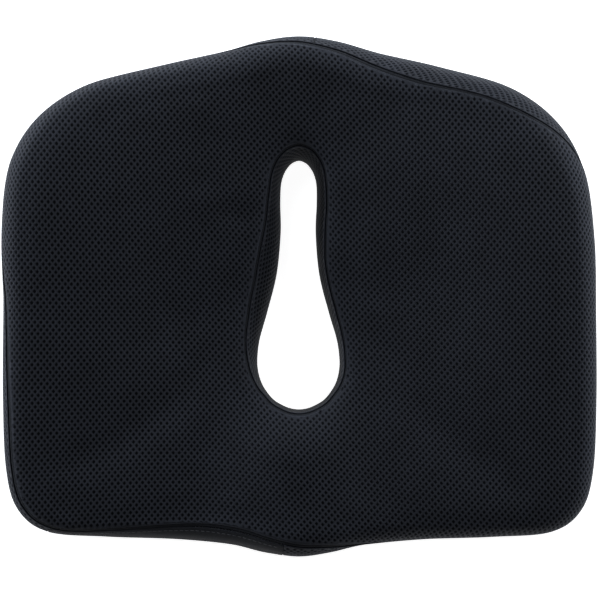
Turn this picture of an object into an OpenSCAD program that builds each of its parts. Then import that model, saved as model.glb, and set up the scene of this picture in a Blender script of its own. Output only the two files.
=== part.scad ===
// Contoured seat cushion with a keyhole opening, in a zip-off cover of spacer mesh.
// +X runs across the seat, +Y to the rear edge, +Z up. The base rests on z = 0 and
// the origin is the centre of the base.
//
// Every fabric piece and the foam are cut from one surface. At each station along
// the edge a closed section runs up the wall of the opening, over the top, down the
// side and back under the base. A shell takes part of that section between two
// depths, and the foam takes all of it at one depth.

/* [Overall size] */
// Width over the bulging sides
cushion_w = 460; // [440:1:480]
// Depth from the bulge at the front to the bulge at the rear
cushion_d = 402; // [388:1:420]
// Height of the top at the front corners
front_h = 56; // [52:1:64]
// How much higher the rear rim stands than the front corners
rear_rise = 34; // [24:1:40]

/* [Seat shape] */
// Depth of the hollow that the sitter's weight rests in
bowl_depth = 21; // [10:1:26]
// Rise of the ridge between the thighs
pommel_rise = 9; // [0:1:12]
// Extra dip between the opening and the rear rim
tail_dip = 7; // [0:1:10]
// How far the top edge takes to round over into the side
edge_round = 24; // [20:1:28]
// How far the side tucks in under the cushion
base_tuck = 9; // [8:0.5:11]
// How far the opening's wall leans back to its top seam
rim_flare = 8; // [7:0.5:10]

/* [Cover] */
// Thickness of the spacer mesh
mesh_t = 3; // [2.6:0.1:3]
// Thickness of the plain woven bands beside the zip
band_t = 1.5; // [1:0.1:1.5]
// Thickness of the non-slip base fabric
base_t = 2; // [1.4:0.1:2]
// Radius of the rolled seams
seam_r = 1; // [0.7:0.1:1]
// Thickness of the knitted liner round the foam
liner_t = 0.8; // [0.5:0.1:0.8]

/* [Zip] */
// Height of the middle of the zip
zip_z = 15; // [14.5:0.1:15.5]
// Width of one half of the zip's tape
tape_w = 7; // [6:0.5:8]
// Pitch of the zip's teeth
tooth_pitch = 2; // [1.5:0.1:3]
// How far the slider stands open
zip_open = 0; // [0:1:114]
// How far the pull tab is lifted from the teeth
pull_lift = 0; // [0:5:150]
// Length of the pull tab
pull_len = 21; // [12:0.5:22]

/* [Hidden] */
$fn = 32;

// One half of the plan, from the middle of the front to the middle of the rear.
// Each row holds a point of the outer edge and the point of the opening that faces it.
half_plan = [
    [[0, -201], [0, -88]],
    [[24, -198], [7, -87]],
    [[52, -192], [14, -84]],
    [[95, -188], [20, -80]],
    [[150, -186], [25, -74]],
    [[196, -182], [29, -67]],
    [[219, -165], [31.5, -58]],
    [[228, -134], [32, -48]],
    [[230, -80], [30, -33]],
    [[229, -15], [24, -12]],
    [[227, 45], [16.5, 18]],
    [[219, 97], [13.5, 50]],
    [[199, 134], [14, 74]],
    [[163, 161], [13.5, 89]],
    [[110, 177], [11, 98]],
    [[62, 188], [7, 104]],
    [[30, 197], [3.5, 106.5]],
    [[0, 201], [0, 107.5]]
];
plan_w = 460;
plan_d = 402;
half_count = len(half_plan) - 1;
rows = 2 * half_count;

// Where the top seam sits on the rounded edge, by direction from the middle of the
// cushion: 90 is on the crown and 0 is at the widest line.
seam_angle_by_direction = [
    [0, 8], [22, 16], [29, 42], [36, 68], [44, 79], [54, 79], [64, 74], [75, 62], [90, 54],
    [100, 40], [115, 14], [135, 8], [162, 14], [180, 42], [205, 56], [225, 54], [234, 72],
    [246, 78], [256, 72], [265, 67], [272, 62], [278, 50], [286, 22], [300, 10], [330, 8],
    [360, 8]
];

// The edge rounds over more widely at the rear right, and stands out at the rear left
round_more_by_direction = [[0, 0], [20, 4], [36, 11], [58, 11], [78, 4], [95, 0], [360, 0]];
outline_more_by_direction = [
    [0, 0], [120, 0], [130, 1], [145, 4], [155, 5], [165, 3], [180, 0], [360, 0]
];

// How much further than rim_flare the opening's wall leans, by distance to the rear, on
// each side, and the width over which one side passes into the other
left_lean_by_y = [
    [-90, -7], [-74, -6], [-57, -3], [-40, 1], [-23, 4.5], [-2, 7], [22, 7.5], [36, 6.5],
    [50, 4.5], [64, 2.5], [78, 0.8], [92, 0], [108, 0]
];
right_lean_by_y = [
    [-90, -7], [-74, -6], [-58, -4.2], [-40, -3.5], [-20, -2.5], [28, -2.3], [47, -0.8],
    [64, 0.2], [88, -0.8], [108, 0]
];
lean_blend = 6;

// Half the space left between two panels for the seam that joins them
seam_half = 1.7;
// Clear space kept between the cover, the liner and the foam
layer_gap = 0.3;
liner_depth = mesh_t + layer_gap;
foam_depth = liner_depth + liner_t + layer_gap;

// Shape of the rounded edge: how square its upper and lower halves are
upper_power = 2.6;
lower_power = 3.5;
widest_share = 0.5;

// Fixed corners of the section, as steps [outward, upward]: the foot of the opening's
// wall, the rim seam below the top, the rounding above it, and the feet of the side
wall_foot = [0.6, 4.4];
rim_below = [10, 7];
rim_round = [[4, 3.8], [9, 6.2]];
top_starts = 17;
side_foot = 4.8;
base_in = 1.6;

// Stations: whole numbers are the rows of the plan, counted from the middle of the front
join_front = 33.45;
join_corner = 29;
join_rear = 16.6;
join_gap = 0.06;

// Zip, from its open end to its closed end, on one straight line
zip_open_end = [-186, -180.5];
zip_closed_end = [-40, -190];
zip_run = zip_closed_end - zip_open_end;
zip_len = norm(zip_run);
zip_angle = atan2(zip_run.y, zip_run.x);
zip_slot = 5.5;
closed_slot = 0.6;
slot_starts = [-195, 20];
slot_ends = [-24, 14];
zip_room = 3.7;
coil_gap = 0.5;
coil_w = 2.1;
coil_t = 1.6;
tape_t = 0.6;
tape_face = -band_t - layer_gap;

// Stops, slider and pull: lengths along the zip, heights across it, and distances out from it
end_gap = 0.3;
stop_len = 2.4;
stop_open_at = 14;
stop_closed_at = zip_len - 3.4;
teeth = [stop_open_at + stop_len + end_gap, stop_closed_at - end_gap];
slider_len = 11;
slider_h = 8.4;
slider_t = 1.1;
slider_face = 0.1;
slider_at = stop_closed_at - end_gap - slider_len / 2 - zip_open;
back_len = 9;
back_h = 7.2;
back_t = 1;
wedge_len = 5;
wedge_h = 0.5;
lug_len = 3.8;
lug_h = 2.2;
lug_rise = 2.7;
pin_r = 0.7;
pin_play = 0.2;
pin_out = slider_face + slider_t + 1.1;
pull_w = 6.4;
pull_t = 1.4;
cheek_w = 1.8;
cheek_past_pin = 0.4;
tab_start = 4.4;
tab_hole_r = 1.5;
tab_hole_in = 4;

// Label: near corner, length and width on the base fabric, and thickness
label_corner = [-130, -150];
label_size = [38, 24, 0.5];

// Section points: opening wall 0-3, top 4-15, side 16-22, base 23-24
WALL = [0, 3];
TOP = [4, 15];
SIDE = [16, 22];
UPPER_BAND = [16, 20];
LOWER_BAND = [21, 22];
BASE = [23, 24];

function smooth(t) = let (c = min(max(t, 0), 1)) c * c * (3 - 2 * c);
function mix(a, b, t) = a + (b - a) * t;
function bell(t) = exp(-t * t);
function unit(v) = v / norm(v);

// Closed curve through the plan's points
function plan_row(i) =
    let (r = (i % rows + rows) % rows)
    r <= half_count ? half_plan[r]
                    : [for (p = half_plan[rows - r]) [-p.x, p.y]];
function through(a, b, c, d, t) =
    b + (c - a) * (t / 2) + (2 * a - 5 * b + 4 * c - d) * (t * t / 2)
    + (3 * b - a - 3 * c + d) * (t * t * t / 2);
function plan_point(s, side) =
    let (
        i = floor(s),
        p = through(plan_row(i - 1)[side], plan_row(i)[side],
                    plan_row(i + 1)[side], plan_row(i + 2)[side], s - i)
    )
    [p.x * cushion_w / plan_w, p.y * cushion_d / plan_d];
function direction(p) = (atan2(p.y, p.x) + 360) % 360;
function edge(s) =
    let (p = plan_point(s, 0))
    p + unit(p) * lookup(direction(p), outline_more_by_direction);
function opening(s) = plan_point(s, 1);

// Height of the top, before its edge rounds over
function rim_height(y) = front_h + rear_rise * smooth((y + 190) / 330);
function top_height(p) =
    rim_height(p.y)
    - bowl_depth * bell(max(abs(p.x) - 70, 0) / 85) * bell((p.y - 15) / (p.y > 15 ? 125 : 95))
    - tail_dip * bell(p.x / 62) * bell((p.y - 115) / 42)
    + pommel_rise * bell(p.x / 48) * smooth((-70 - p.y) / 50);

// Distance along a station's line to the zip's line, and how far the side is drawn to it
function zip_distance(h, e) =
    let (m = zip_run.y / zip_run.x)
    (zip_open_end.y + m * (h.x - zip_open_end.x) - h.y) / (e.y - m * e.x);
function zip_pull_in(s, x) =
    s <= join_corner || s >= join_front ? 0 : smooth((-14 - x) / 26);

// Half the height of the slot between the bands, which meet beyond the zip's ends
function slot_half(s, x) =
    s <= join_corner || s >= join_front
        ? zip_slot
        : mix(closed_slot, zip_slot, smooth((x - slot_starts[0]) / slot_starts[1])
                                     * smooth((slot_ends[0] - x) / slot_ends[1]));

// How far the opening's wall leans back at point h of the opening
function flare(h) =
    let (left = lookup(h.y, left_lean_by_y), right = lookup(h.y, right_lean_by_y))
    rim_flare + mix((left + right) / 2, h.x < 0 ? left : right, smooth(abs(h.x) / lean_blend));

// Distance along a station's line to the side's surface at height z. The shape of the
// side is given as [reach, height of the crown, width over which the edge rounds]
function side_reach(shape, z) =
    let (
        mid = shape[1] * widest_share,
        share = min(abs(z - mid) / (z > mid ? shape[1] - mid : mid), 1)
    )
    z > mid ? shape[0] - shape[2] * (1 - pow(1 - pow(share, upper_power), 1 / upper_power))
            : shape[0] - base_tuck * (1 - pow(1 - pow(share, lower_power), 1 / lower_power));
function edge_point(shape, angle) =
    let (crown = shape[1], mid = crown * widest_share)
    [shape[0] - shape[2] * (1 - pow(cos(angle), 2 / upper_power)),
     mid + (crown - mid) * pow(sin(angle), 2 / upper_power)];

// The section at station s, as points [distance from the opening, height]
function section(s) =
    let (
        h = opening(s),
        o = edge(s),
        reach = norm(o - h),
        e = (o - h) / reach,
        f = flare(h),
        rim_z = top_height(h + e * (f + rim_below.x)) - rim_below.y,
        rim = [f, rim_z],
        round_over = edge_round + lookup(direction(o), round_more_by_direction),
        crown_at = reach - round_over,
        crown = top_height(h + e * crown_at),
        shape = [reach, crown, round_over],
        angle = lookup(direction(o), seam_angle_by_direction),
        seam = edge_point(shape, angle),
        along = unit(edge_point(shape, angle + 2) - edge_point(shape, angle - 2)),
        slot_top = zip_z + slot_half(s, o.x),
        slot_low = zip_z - slot_half(s, o.x),
        draw = zip_pull_in(s, o.x),
        drawn = zip_distance(h, e)
    )
    concat(
        [wall_foot, [0, rim_z * 0.35], [f * 0.3, rim_z * 0.7]],
        [rim - seam_half * [0.35, 0.94], rim + seam_half * [0.72, 0.69]],
        [for (step = rim_round) rim + step],
        [for (i = [0:5])
            let (w = mix(f + top_starts, crown_at, i / 5)) [w, top_height(h + e * w)]],
        [for (i = [1:2]) edge_point(shape, mix(90, angle + 4, i / 3))],
        [seam + seam_half * along, seam - seam_half * along],
        [for (i = [1:2]) edge_point(shape, (angle - 4) * (1 - i / 3))],
        [[mix(reach, drawn, draw * 0.35), crown * widest_share]],
        [for (z = [slot_top, slot_low]) [mix(side_reach(shape, z), drawn, draw), z]],
        [[mix(side_reach(shape, side_foot), drawn, draw * 0.5), side_foot]],
        [[reach - base_tuck - base_in, 0], [side_foot, 0]]
    );

// Point i of the section at station s, moved in by a depth, in space
function inward(sec, i, depth) =
    let (n = len(sec), d = unit(sec[(i + 1) % n] - sec[(i + n - 1) % n]))
    sec[i] + [d.y, -d.x] * depth;
function in_space(s, p) =
    let (h = opening(s), e = unit(edge(s) - h))
    [h.x + e.x * p.x, h.y + e.y * p.x, p.y];
function layer(s, span, depth) =
    let (sec = section(s))
    [for (i = [span[0]:span[1]]) in_space(s, inward(sec, i, depth))];
// Behind the zip the liner and the foam stand back for the slider
function padded_section(s) =
    let (
        sec = section(s),
        back = s >= join_corner - 0.5 && s <= join_front + 0.1 ? zip_room : 0,
        share = [0.6, 1, 1, 0.8],
        first = UPPER_BAND[1] - 1
    )
    [for (i = [0:len(sec) - 1])
        sec[i] - [i >= first && i < first + len(share) ? share[i - first] * back : 0, 0]];
function padded_layer(s, depth) =
    let (sec = padded_section(s))
    [for (i = [0:len(sec) - 1]) in_space(s, inward(sec, i, depth))];
function backward(list) = [for (i = [len(list) - 1:-1:0]) list[i]];

// Solids: closed loops of points, one for each station, joined all round or end to end.
// From point turn onward a loop runs back, so its faces are split along the other diagonal.
module solid_of(loops, closed, turn = 1000) {
    n = len(loops);
    m = len(loops[0]);
    last = closed ? n - 1 : n - 2;
    walls = [for (k = [0:last], j = [0:m - 1])
        let (
            j2 = (j + 1) % m,
            k2 = (k + 1) % n,
            a = k * m + j,
            b = k * m + j2,
            c = k2 * m + j2,
            d = k2 * m + j
        )
        each (j < turn ? [[a, c, b], [a, d, c]] : [[a, d, b], [b, d, c]])];
    ends = closed ? [] : [[for (j = [0:m - 1]) j], [for (j = [m - 1:-1:0]) (n - 1) * m + j]];
    polyhedron(points = [for (l = loops) each l], faces = concat(walls, ends), convexity = 8);
}
module shell(stations, span, inner, closed = true) {
    solid_of([for (s = stations)
        concat(layer(s, span, 0), backward(layer(s, span, inner)))], closed,
        span[1] - span[0] + 1);
}
all_round = [for (i = [0:2 * rows - 1]) i / 2];

// Rolled seam that follows the space between two points of the section
module round_seam(i, j) {
    solid_of([for (s = all_round)
        let (sec = section(s), mid = (sec[i] + sec[j]) / 2, d = unit(sec[j] - sec[i]),
             middle = mid + [d.y, -d.x] * (seam_r - 0.1))
        [for (a = [0:60:300]) in_space(s, middle + seam_r * [cos(a), -sin(a)])]], true);
}
// Seam that runs down the side where two lengths of the gusset meet
module side_seam(s) {
    edge_path = layer(s, SIDE, seam_r);
    path = [for (i = [0:len(edge_path) - 1]) i > 0 ? edge_path[i]
                                                   : mix(edge_path[0], edge_path[1], 0.3)];
    side = unit(edge(s + 0.05) - edge(s - 0.05));
    out = [side.y, -side.x];
    r = seam_r * 0.9;
    solid_of([for (p = path)
        [for (a = [0:60:300])
            p + [side.x * cos(a) + out.x * sin(a), side.y * cos(a) + out.y * sin(a), 0] * r]],
        false);
}

module foam_core() {
    color("#d9d3c4") solid_of([for (s = all_round) padded_layer(s, foam_depth)], true);
}
module inner_liner() {
    color("#e9e9e6") difference() {
        solid_of([for (s = all_round) padded_layer(s, liner_depth)], true);
        solid_of([for (s = all_round) padded_layer(s, liner_depth + liner_t)], true);
    }
}
module top_panel() {
    color("#1b1d22") shell(all_round, TOP, mesh_t);
}
module gusset(first, last) {
    stations = concat([first + join_gap],
                      [for (i = [ceil(2 * first):floor(2 * last - 0.1)]) i / 2],
                      [last - join_gap]);
    color("#202329") shell(stations, SIDE, mesh_t, false);
}
module right_gusset() {
    gusset(join_front - rows, join_rear);
}
module left_gusset() {
    gusset(join_rear, join_corner);
}
band_stations = concat([join_corner + join_gap],
                       [for (i = [1:2 * (join_front - join_corner)]) join_corner + i / 2],
                       [join_front - join_gap]);
module zip_band_upper() {
    color("#17181c") shell(band_stations, UPPER_BAND, band_t, false);
}
module zip_band_lower() {
    color("#17181c") shell(band_stations, LOWER_BAND, band_t, false);
}
module hole_wall() {
    color("#202329") shell(all_round, WALL, mesh_t);
}
module base_panel() {
    outline = [for (s = all_round) let (sec = section(s)) in_space(s, sec[BASE[0]])];
    slot = [for (s = all_round) let (sec = section(s)) in_space(s, sec[BASE[1]])];
    color("#26272b") linear_extrude(base_t) difference() {
        polygon([for (p = outline) [p.x, p.y]]);
        polygon([for (p = slot) [p.x, p.y]]);
    }
}

// Places its children on the zip: +X from the open end to the closed end, -Y outward
module on_zip() {
    translate([zip_open_end.x, zip_open_end.y, zip_z]) rotate([0, 0, zip_angle]) children();
}
// A block between two distances along, two outward and two up
module zip_block(along, out, up) {
    translate([along[0], -out[1], up[0]])
        cube([along[1] - along[0], out[1] - out[0], up[1] - up[0]]);
}
module tape_half() {
    zip_block([0, zip_len], [tape_face - tape_t, tape_face], [coil_gap + 0.1, coil_gap + tape_w]);
}
// A row of teeth on a narrow bar
module coil_half() {
    tooth = tooth_pitch * 0.55;
    space = tooth_pitch * 0.2;
    count = floor((teeth[1] - teeth[0]) / tooth_pitch);
    root = coil_gap + coil_w / 3;
    back = coil_gap + coil_w;
    outline = concat(
        [[teeth[0], back], [teeth[0], root]],
        [for (i = [0:count - 1])
            let (x = teeth[0] + i * tooth_pitch + space)
            each [[x, root], [x, coil_gap], [x + tooth, coil_gap], [x + tooth, root]]],
        [[teeth[1], root], [teeth[1], back]]);
    translate([0, -tape_face, 0]) rotate([90, 0, 0]) linear_extrude(coil_t) polygon(outline);
}
module zip_stop(along) {
    half = coil_gap + coil_w;
    zip_block([along, along + stop_len], [tape_face, -0.1], [-half, half]);
}
module zip_tape_upper() {
    color("#141518") on_zip() tape_half();
}
module zip_tape_lower() {
    color("#141518") on_zip() mirror([0, 0, 1]) tape_half();
}
module zip_coil_upper() {
    color("#101114") on_zip() coil_half();
}
module zip_coil_lower() {
    color("#101114") on_zip() mirror([0, 0, 1]) coil_half();
}
module zip_stop_closed() {
    color("#3b3d42") on_zip() zip_stop(stop_closed_at);
}
module zip_stop_open() {
    color("#3b3d42") on_zip() zip_stop(stop_open_at);
}
// Slider: a front and a back plate joined by a thin wedge between the teeth, and the lug
module centred_block(long, out, high) {
    zip_block([-long / 2, long / 2], out, [-high / 2, high / 2]);
}
module zip_slider() {
    back = tape_face - tape_t - layer_gap;
    front = slider_face + slider_t;
    color("#46484e") on_zip() translate([slider_at, 0, 0]) {
        centred_block(slider_len, [slider_face, front], slider_h);
        centred_block(back_len, [back - back_t, back], back_h);
        centred_block(wedge_len, [back, slider_face], wedge_h);
        difference() {
            centred_block(lug_len, [front, front + lug_rise], lug_h);
            translate([0, -pin_out, -lug_h]) cylinder(h = 2 * lug_h, r = pin_r + pin_play);
        }
    }
}
// Pull: a pin through the lug, two cheeks and a tab that lies back along the teeth
module zip_pull() {
    cheek_len = tab_start + cheek_past_pin;
    tab_len = pull_len - tab_start;
    color("#2c2e33") on_zip() translate([slider_at, -pin_out, 0]) rotate([0, 0, pull_lift]) {
        translate([0, 0, -pull_w / 2]) cylinder(h = pull_w, r = pin_r);
        for (low = [-pull_w / 2, pull_w / 2 - cheek_w])
            translate([-tab_start, -pull_t / 2, low]) cube([cheek_len, pull_t, cheek_w]);
        translate([-pull_len, -pull_t / 2, -pull_w / 2]) difference() {
            cube([tab_len, pull_t, pull_w]);
            translate([tab_hole_in, 2 * pull_t, pull_w / 2])
                rotate([90, 0, 0]) cylinder(h = 3 * pull_t, r = tab_hole_r);
        }
    }
}
// Blank label, inside the cover on the base fabric
module care_label() {
    color("#f2f2ef") translate([label_corner.x, label_corner.y, base_t + layer_gap])
        cube(label_size);
}

foam_core();
inner_liner();
top_panel();
right_gusset();
left_gusset();
zip_band_upper();
zip_band_lower();
hole_wall();
base_panel();
color("#0d0e10") round_seam(15, 16);  // top_edge_seam
color("#0d0e10") round_seam(3, 4);  // hole_rim_seam
color("#0d0e10") round_seam(22, 23);  // base_edge_seam
color("#0d0e10") round_seam(24, 0);  // hole_base_seam
color("#0d0e10") side_seam(join_front);  // front_join_seam
color("#0d0e10") side_seam(join_corner);  // corner_join_seam
color("#0d0e10") side_seam(join_rear);  // rear_join_seam
zip_tape_upper();
zip_tape_lower();
zip_coil_upper();
zip_coil_lower();
zip_stop_closed();
zip_stop_open();
zip_slider();
zip_pull();
care_label();
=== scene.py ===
import math
import bpy
import numpy as np
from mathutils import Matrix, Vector
from mathutils.bvhtree import BVHTree


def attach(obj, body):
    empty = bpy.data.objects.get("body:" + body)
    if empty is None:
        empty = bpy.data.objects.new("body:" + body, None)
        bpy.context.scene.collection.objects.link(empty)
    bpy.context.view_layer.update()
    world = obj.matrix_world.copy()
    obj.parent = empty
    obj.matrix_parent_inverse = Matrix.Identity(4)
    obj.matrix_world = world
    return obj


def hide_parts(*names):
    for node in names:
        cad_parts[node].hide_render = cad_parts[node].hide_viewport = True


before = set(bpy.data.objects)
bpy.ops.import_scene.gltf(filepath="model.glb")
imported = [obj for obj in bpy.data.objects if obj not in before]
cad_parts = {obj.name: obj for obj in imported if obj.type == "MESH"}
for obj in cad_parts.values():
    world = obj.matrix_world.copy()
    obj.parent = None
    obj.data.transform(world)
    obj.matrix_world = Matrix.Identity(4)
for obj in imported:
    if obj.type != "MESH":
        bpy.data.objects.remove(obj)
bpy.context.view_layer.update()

# All shapes are worked out in millimetres and become metres when a mesh is made.
# +X runs across the seat, +Y to the rear edge, +Z up; the base rests on z = 0.
MM = 0.001
rng = np.random.default_rng(7)

# ---------------- plan and height
# Rows from the middle of the front to the middle of the rear: outer edge, opening edge.
HALF_PLAN = np.array([
    [[0, -201], [0, -88]], [[24, -198], [7, -87]], [[52, -192], [14, -84]],
    [[95, -188], [20, -80]], [[150, -186], [25, -74]], [[196, -182], [29, -67]],
    [[219, -165], [31.5, -58]], [[228, -134], [32, -48]], [[230, -80], [30, -33]],
    [[229, -15], [24, -12]], [[227, 45], [16.5, 18]], [[219, 97], [13.5, 50]],
    [[199, 134], [14, 74]], [[163, 161], [13.5, 89]], [[110, 177], [11, 98]],
    [[62, 188], [7, 104]], [[30, 197], [3.5, 106.5]], [[0, 201], [0, 107.5]]], float)
ROWS = 34
PLAN = np.concatenate([HALF_PLAN, HALF_PLAN[-2:0:-1] * [-1, 1]])
# Where the top seam sits on the rounded edge, by direction: 90 on the crown, 0 at the widest line.
SEAM_ANGLE = np.array([
    [0, 8], [22, 16], [29, 42], [36, 68], [44, 79], [54, 79], [64, 74], [75, 62], [90, 54],
    [100, 40], [115, 14], [135, 8], [162, 14], [180, 42], [205, 56], [225, 54], [234, 72],
    [246, 78], [256, 72], [265, 67], [272, 62], [278, 50], [286, 22], [300, 10], [330, 8],
    [360, 8]], float)
# How far the wall of the opening leans back to its rim, by y, on the left and on the right.
LEFT_FLARE = np.array([[-90, 1], [-74, 2], [-57, 5], [-40, 9], [-23, 12.5], [-2, 15],
                       [22, 15.5], [36, 14.5], [50, 12.5], [64, 10.5], [78, 8.8], [92, 8],
                       [108, 8]], float)
RIGHT_FLARE = np.array([[-90, 1], [-74, 2], [-58, 3.8], [-40, 4.5], [-20, 5.5], [28, 5.7],
                        [47, 7.2], [64, 8.2], [88, 7.2], [108, 8]], float)
# The outline stands out at the rear left, and the edge rounds over wider at the rear right.
OUTLINE_MORE = np.array([[0, 0], [120, 0], [130, 1], [145, 4], [155, 5], [165, 3], [180, 0],
                         [360, 0]], float)
ROUND_MORE = np.array([[0, 0], [20, 4], [36, 11], [58, 11], [78, 4], [95, 0], [360, 0]], float)
# The top's height at the front, its rise to the rear, the depth of the two bowls, the ridge
# between the thighs and the dip under the tailbone.
FRONT_H, REAR_RISE, BOWL, POMMEL, TAIL = 56, 34, 21, 9, 7
OPENING_BEND = 1.3
EDGE_ROUND, BASE_TUCK = 24, 9
SEAM_HALF = 1.7
UPPER_POWER, LOWER_POWER = 2.6, 3.5
# Where the gusset's lengths and the wall's two ends meet, in rows of the plan.
JOIN_FRONT, JOIN_CORNER, JOIN_REAR, WALL_JOIN = 33.45, 29.0, 16.6, 33.2
ZIP_OPEN_END, ZIP_CLOSED_END, ZIP_Z = np.array([-186, -180.5]), np.array([-40, -190.0]), 15
ZIP_RUN = ZIP_CLOSED_END - ZIP_OPEN_END
ZIP_LEN = np.linalg.norm(ZIP_RUN)
# Half of the gap between the bands along the zip, and their lap where they meet past its ends.
BAND_GAP, BAND_LAP = 5.5, 0.3
MESH_T, BAND_T, BASE_T, LINER_T, LAYER_GAP = 3.0, 1.5, 2.0, 0.8, 0.3

# Soft unevenness of the padded top: centre, half length and half width, turn in degrees, height.
DENTS = [
    (-46, 62, 16, 9, 20, -2.2), (-74, 74, 26, 8, 24, 1.2), (-96, 30, 40, 26, 80, 0.8),
    (38, 60, 12, 26, -8, -1.0), (70, 96, 34, 12, -25, 0.8), (-62, -40, 18, 40, -12, 0.9),
    (52, -20, 16, 44, 10, 0.8), (-120, -120, 52, 26, 12, -1.2), (128, -118, 50, 28, -10, -1.0),
    (-14, -122, 26, 46, 0, 1.8), (-84, -128, 26, 46, 0, -1.0), (66, -128, 30, 46, 0, -1.0),
    (0, 150, 60, 13, 0, -1.2), (-150, 84, 34, 20, 40, 0.7),
    (150, 60, 36, 24, -40, -0.7), (14, -84, 20, 9, 0, -1.0)]


def smooth(t):
    c = np.clip(t, 0, 1)
    return c * c * (3 - 2 * c)


def mix(a, b, t):
    return a + (b - a) * t


def bell(t):
    return np.exp(-t * t)


def look(x, table):
    return np.interp(x, table[:, 0], table[:, 1])


def unit(v):
    return v / np.maximum(np.linalg.norm(v, axis=-1, keepdims=True), 1e-12)


def plan_at(s):
    i = np.floor(s).astype(int)
    t = (s - i)[:, None, None]
    a, b, c, d = (PLAN[(i + k) % ROWS] for k in (-1, 0, 1, 2))
    return (b + (c - a) * (t / 2) + (2 * a - 5 * b + 4 * c - d) * (t * t / 2)
            + (3 * b - a - 3 * c + d) * (t ** 3 / 2))


def dents(x, y):
    z = 0 * x
    for cx, cy, length, width, turn, height in DENTS:
        c, s = math.cos(math.radians(turn)), math.sin(math.radians(turn))
        along, across = (x - cx) * c + (y - cy) * s, (y - cy) * c - (x - cx) * s
        z = z + height * np.exp(-(along / length) ** 2 - (across / width) ** 2)
    return z


def top_height(p):
    x, y = p[..., 0], p[..., 1]
    return (FRONT_H + REAR_RISE * smooth((y + 190) / 330)
            - BOWL * bell(np.maximum(np.abs(x) - 70, 0) / 85)
            * bell((y - 15) / np.where(y > 15, 125, 95))
            - TAIL * bell(x / 62) * bell((y - 115) / 42)
            + POMMEL * bell(x / 48) * smooth((-70 - y) / 50) + dents(x, y))


def side_reach(shape, z):
    reach, crown, over = shape
    mid = crown * 0.5
    share = np.minimum(np.abs(z - mid) / np.where(z > mid, crown - mid, mid), 1)
    up = over * (1 - (1 - share ** UPPER_POWER) ** (1 / UPPER_POWER))
    low = BASE_TUCK * (1 - (1 - share ** LOWER_POWER) ** (1 / LOWER_POWER))
    return reach - np.where(z > mid, up, low)


def edge_point(shape, angle):
    reach, crown, over = shape
    a, mid = np.radians(angle), crown * 0.5
    return np.stack([reach - over * (1 - np.cos(a) ** (2 / UPPER_POWER)),
                     mid + (crown - mid) * np.sin(a) ** (2 / UPPER_POWER)], -1)


def run_of(points):
    """Distance along a line of points, from its first."""
    return np.concatenate([[0], np.cumsum(np.linalg.norm(np.diff(points, axis=0), axis=1))])


def resample(at, run, points):
    """Places on a line at the distances `at`; `run` holds the distances of its own points."""
    return np.stack([np.interp(at, run, points[:, k]) for k in range(points.shape[1])], -1)


def direction_of(p):
    return np.degrees(np.arctan2(p[:, 1], p[:, 0])) % 360


def profile(s):
    """The opening's edge, the outward direction and the control points of each panel."""
    plan = plan_at(s)
    outer, hole = plan[:, 0], plan[:, 1]
    outer = outer + unit(outer) * look(direction_of(outer), OUTLINE_MORE)[:, None]
    direction = direction_of(outer)
    hole = hole - [OPENING_BEND, 0] * bell((hole[:, 1:] - 10) / 90)
    off = hole[:, 0] + OPENING_BEND
    flare = mix(look(hole[:, 1], LEFT_FLARE), look(hole[:, 1], RIGHT_FLARE),
                0.5 + 0.5 * np.sign(off) * smooth(np.abs(off) / 6))
    span = outer - hole
    reach = np.linalg.norm(span, axis=1)
    outward = span / reach[:, None]

    def lift(w):
        return np.stack([w, top_height(hole + outward * w[:, None])], -1)

    rim_z = top_height(hole + outward * (flare[:, None] + 10)) - 7
    over = EDGE_ROUND + look(direction, ROUND_MORE)
    crown_at = reach - over
    crown = lift(crown_at)[:, 1]
    shape = (reach, crown, over)
    angle = sum(look((direction + k) % 360, SEAM_ANGLE) for k in (-4, -2, 0, 2, 4)) / 5
    seam = edge_point(shape, angle)
    along = unit(edge_point(shape, angle + 2) - edge_point(shape, angle - 2))
    # The bands part at the zip, which draws the side in to its own straight line
    x, row = outer[:, 0], s % ROWS
    on_band = (row > JOIN_CORNER) & (row < JOIN_FRONT)
    slot = mix(-BAND_LAP, BAND_GAP, smooth((x - ZIP_OPEN_END[0] + 3) / 6)
               * smooth((ZIP_CLOSED_END[0] - 0.5 - x) / 5))
    slot = np.where(on_band, slot, BAND_GAP)
    draw = on_band * smooth((-14 - x) / 26) * smooth((row - JOIN_CORNER) / 0.3)
    slope = ZIP_RUN[1] / ZIP_RUN[0]
    drawn = ((ZIP_OPEN_END[1] + slope * (hole[:, 0] - ZIP_OPEN_END[0]) - hole[:, 1])
             / (outward[:, 1] - slope * outward[:, 0]))
    rim = np.stack([flare, rim_z], -1)
    zero = 0 * flare

    def side_at(z, pull):
        z = z + zero
        return np.stack([mix(side_reach(shape, z), drawn, draw * pull), z], -1)

    wall = [np.stack([zero + 0.6, zero + 4.4], -1), np.stack([zero, rim_z * 0.35], -1),
            np.stack([flare * 0.3, rim_z * 0.7], -1), rim - np.array([0.35, 0.94]) * SEAM_HALF]
    top = ([rim + np.array([0.72, 0.69]) * SEAM_HALF, rim + [4, 3.8], rim + [9, 6.2]]
           + [lift(mix(flare + 17, crown_at, i / 5)) for i in range(6)]
           + [edge_point(shape, mix(90, angle + 4, i / 3)) for i in (1, 2)]
           + [seam + SEAM_HALF * along])
    side = ([seam - SEAM_HALF * along]
            + [edge_point(shape, (angle - 4) * (1 - i / 3)) for i in (1, 2)]
            + [np.stack([mix(reach, drawn, draw * 0.35), crown * 0.5], -1),
               side_at(ZIP_Z + slot, 1), side_at(ZIP_Z - slot, 1), side_at(4.8, 0.5)])
    base = [np.stack([reach - BASE_TUCK - 1.6, zero], -1), np.stack([zero + 4.8, zero], -1)]
    parts = {"wall": wall, "top": top, "side": side, "band_upper": side[:5],
             "band_lower": side[5:], "base": base}
    return hole, outward, {k: np.stack(v, 1) for k, v in parts.items()}


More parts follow.
